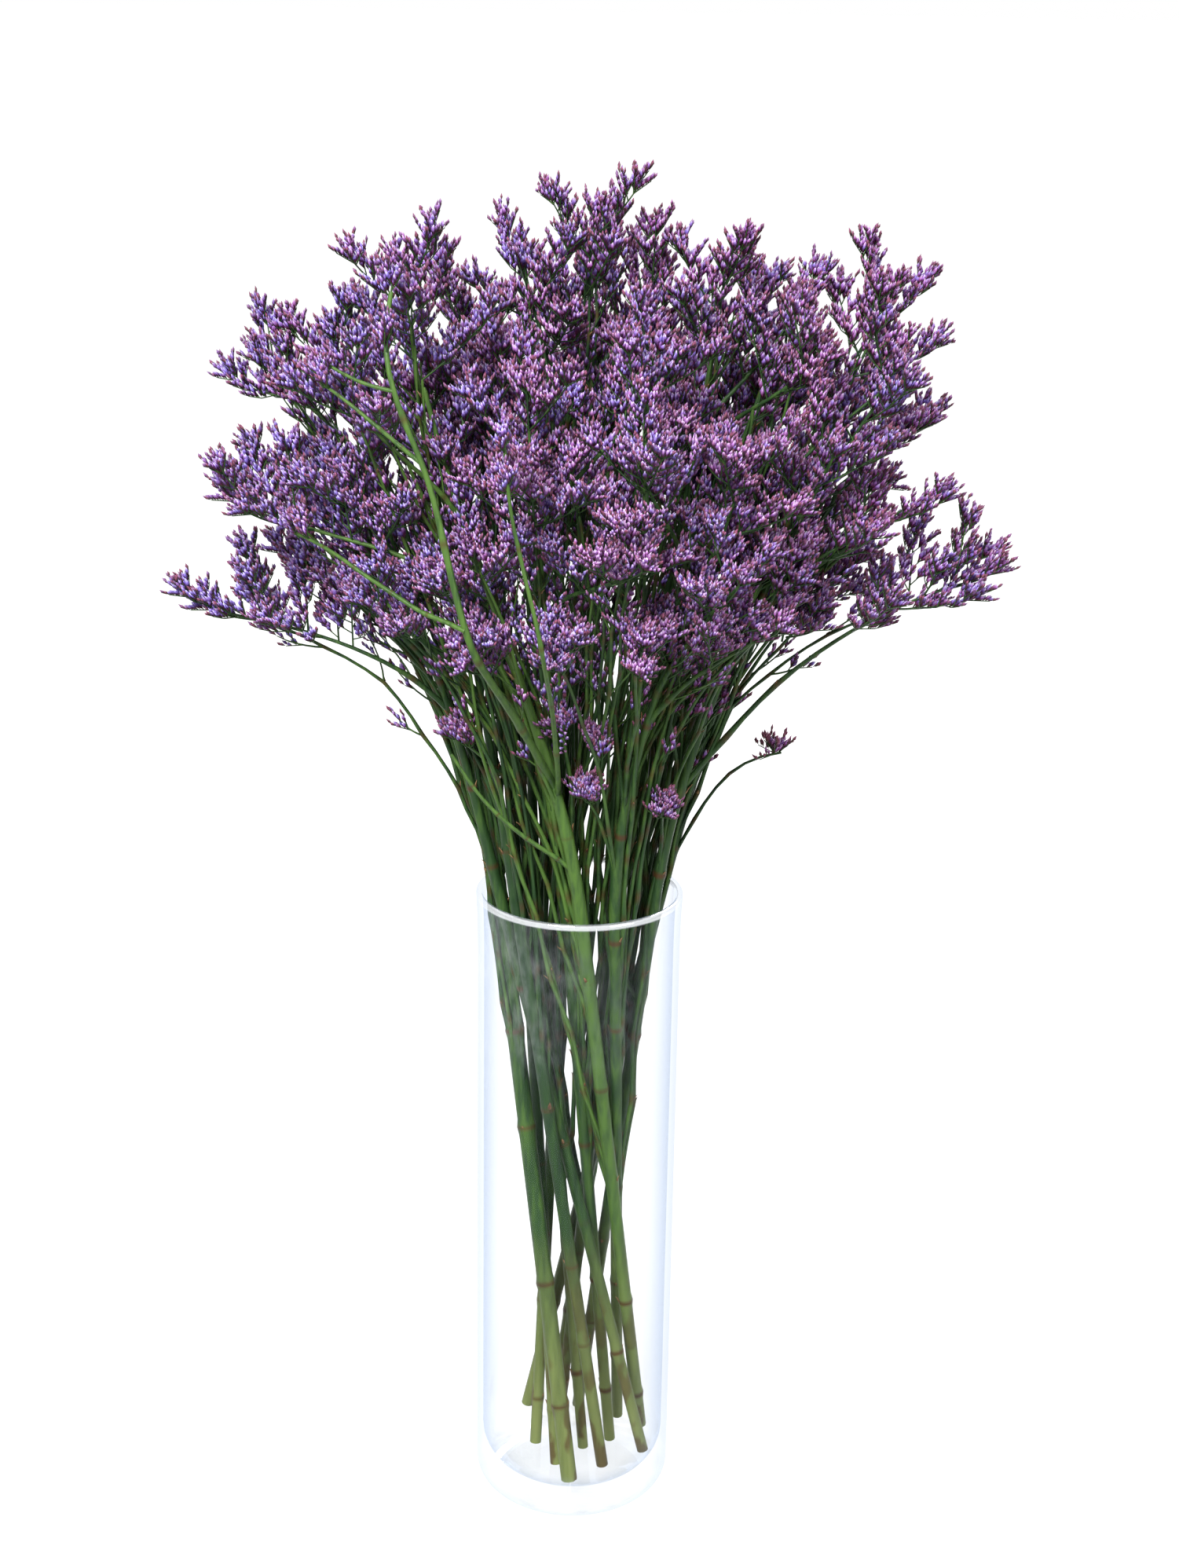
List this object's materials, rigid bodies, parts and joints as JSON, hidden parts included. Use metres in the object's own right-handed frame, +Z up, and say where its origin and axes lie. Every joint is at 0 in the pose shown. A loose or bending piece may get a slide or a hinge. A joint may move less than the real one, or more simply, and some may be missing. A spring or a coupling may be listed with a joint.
{
  "type": "dried statice bunch in glass vase",
  "caption": "Loose bunch of dried violet statice, its cut stems crossing in a tall clear glass cylinder vase and fanning out above the rim.",
  "frame": {"origin": "middle of the vase's flat underside, on the surface that it stands on", "axes": "+Z up along the vase's axis; the bunch's broad front faces -Y, with +X to the right of someone facing it"},
  "size_m": [0.3832, 0.295, 0.664],
  "materials": {
    "glass": "clear polished glass",
    "stem_green": "matt dry green stem, paler at the cut foot, with brown nodes",
    "flower_violet": "papery matt violet florets"
  },
  "bodies": {
    "root": {"vase": "glass", "stem_01": "stem_green", "stem_02": "stem_green", "stem_03": "stem_green", "stem_04": "stem_green", "stem_05": "stem_green", "stem_06": "stem_green", "stem_07": "stem_green", "stem_08": "stem_green", "stem_09": "stem_green", "stem_10": "stem_green", "stem_11": "stem_green", "stem_12": "stem_green", "stem_13": "stem_green", "spray_01": "flower_violet", "spray_02": "flower_violet", "spray_03": "flower_violet", "spray_04": "flower_violet", "spray_05": "flower_violet", "spray_06": "flower_violet", "spray_07": "flower_violet", "spray_08": "flower_violet", "spray_09": "flower_violet", "spray_10": "flower_violet", "spray_11": "flower_violet", "spray_12": "flower_violet", "spray_13": "flower_violet", "spray_14": "flower_violet", "spray_15": "flower_violet", "spray_16": "flower_violet", "spray_17": "flower_violet", "spray_18": "flower_violet", "spray_19": "flower_violet", "spray_20": "flower_violet", "spray_21": "flower_violet", "spray_22": "flower_violet", "spray_23": "flower_violet", "spray_24": "flower_violet", "spray_25": "flower_violet", "spray_26": "flower_violet", "spray_27": "flower_violet", "spray_28": "flower_violet", "spray_29": "flower_violet", "spray_30": "flower_violet", "spray_31": "flower_violet", "spray_32": "flower_violet", "spray_33": "flower_violet", "spray_34": "flower_violet", "spray_35": "flower_violet", "spray_36": "flower_violet", "spray_37": "flower_violet", "spray_38": "flower_violet", "spray_39": "flower_violet", "spray_40": "flower_violet", "spray_41": "flower_violet", "spray_42": "flower_violet", "spray_43": "flower_violet", "spray_44": "flower_violet", "spray_45": "flower_violet", "spray_46": "flower_violet"}
  },
  "joints": []
}
